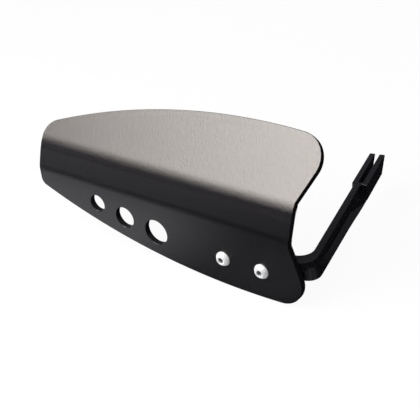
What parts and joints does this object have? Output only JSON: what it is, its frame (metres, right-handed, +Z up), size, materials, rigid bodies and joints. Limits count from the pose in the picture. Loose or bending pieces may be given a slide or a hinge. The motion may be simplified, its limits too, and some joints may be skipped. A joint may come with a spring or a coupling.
{
  "type": "motorcycle lever guard",
  "caption": "Folded sheet guard plate for a handlebar lever, screwed to a bent support arm that ends in an open fork.",
  "frame": {"origin": "middle of the fork's slot, halfway along it, across it and up it", "axes": "+X across the slot towards the arm's outer side, +Y along the arm away from the plate and out of the slot, +Z up"},
  "size_m": [0.2057, 0.1424, 0.0965],
  "materials": {
    "black_coated_sheet": "fine-textured matte black coating on aluminium sheet",
    "black_coated_arm": "satin black coating on aluminium",
    "zinc_screw": "bright zinc-plated steel"
  },
  "bodies": {
    "root": {"guard_plate": "black_coated_sheet", "support_arm": "black_coated_arm", "screw_left": "zinc_screw", "screw_right": "zinc_screw"}
  },
  "joints": []
}
